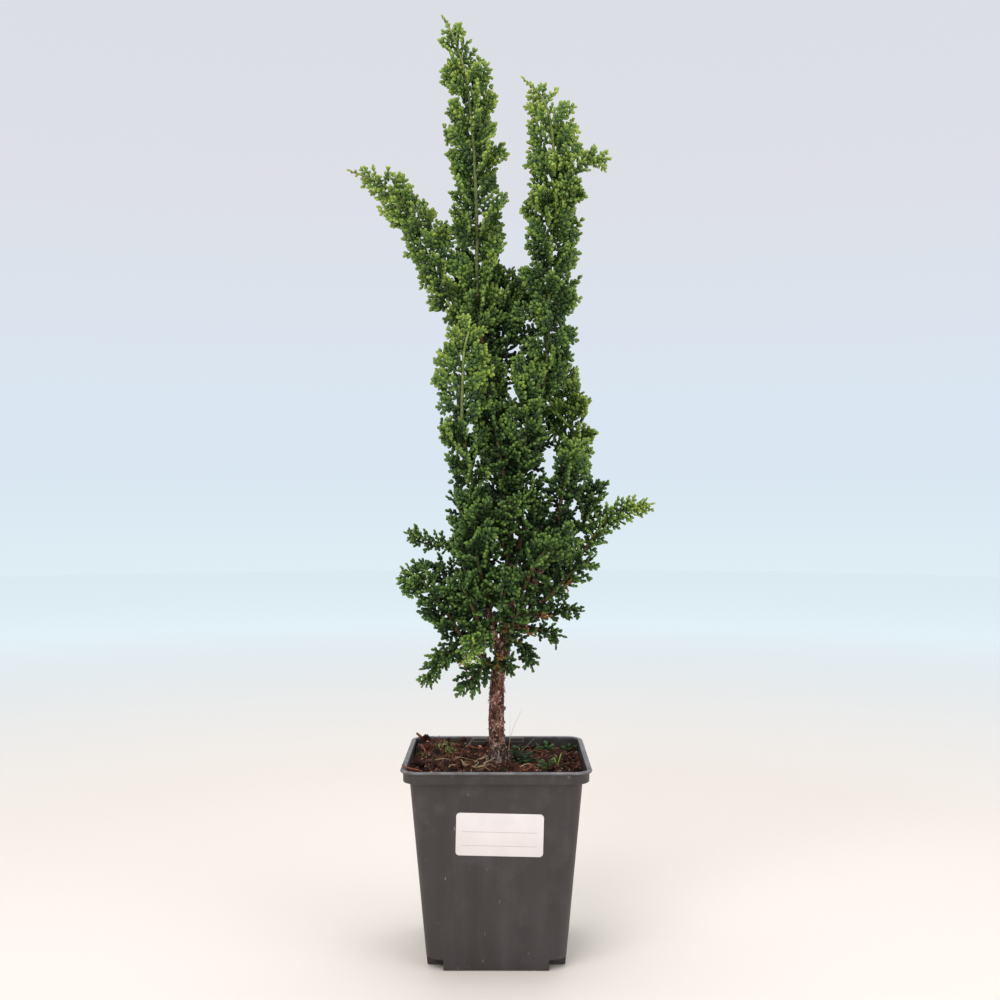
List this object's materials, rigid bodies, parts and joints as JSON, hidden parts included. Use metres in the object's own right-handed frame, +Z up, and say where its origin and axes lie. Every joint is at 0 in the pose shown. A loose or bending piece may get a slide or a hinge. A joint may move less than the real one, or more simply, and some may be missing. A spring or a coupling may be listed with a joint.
{
  "type": "hinoki cypress bonsai in a pot",
  "caption": "Young upright hinoki cypress bonsai with tall leafy spires, planted in a square grey nursery pot with a blank label.",
  "frame": {"origin": "the middle of the pot's underside, where it rests", "axes": "+Z up along the trunk; -Y out of the labelled front of the pot; +X to the right of that front"},
  "size_m": [0.186, 0.11, 0.5659],
  "materials": {
    "pot_plastic": "matte, dusty, worn pale on the lip",
    "label_paper": "smooth white sticker",
    "peat": "damp peat and bark",
    "bark": "rough flaking bark",
    "leaf": "soft satin scale leaves"
  },
  "bodies": {
    "root": {"pot": "pot_plastic", "label": "label_paper", "soil": "peat", "trunk": "bark", "plume_leader": "leaf", "plume_left_arm": "leaf", "plume_right_spire": "leaf", "plume_front_spire": "leaf", "plume_bridge": "leaf", "plume_heart_left": "leaf", "plume_heart_right": "leaf", "plume_heart_low": "leaf", "plume_back_spire": "leaf", "plume_blue_clump": "leaf", "plume_right_shoulder": "leaf", "plume_right_sprig": "leaf", "plume_right_pad": "leaf", "plume_right_pad_low": "leaf", "plume_left_flank": "leaf", "plume_left_flank_back": "leaf", "plume_front_fan": "leaf", "plume_front_twig": "leaf", "plume_left_sprig": "leaf", "plume_left_bough": "leaf", "plume_left_bough_in": "leaf", "plume_left_tail": "leaf", "plume_bright_tail": "leaf", "plume_low_clump": "leaf", "plume_trunk_tuft": "leaf", "plume_right_drop": "leaf", "plume_right_low": "leaf", "plume_right_low_tip": "leaf", "plume_right_low_back": "leaf", "plume_front_low": "leaf", "plume_left_low": "leaf", "plume_back_low_left": "leaf", "plume_back_low_right": "leaf", "plume_back_mid": "leaf", "plume_back_mid_right": "leaf", "plume_back_high": "leaf"}
  },
  "joints": []
}
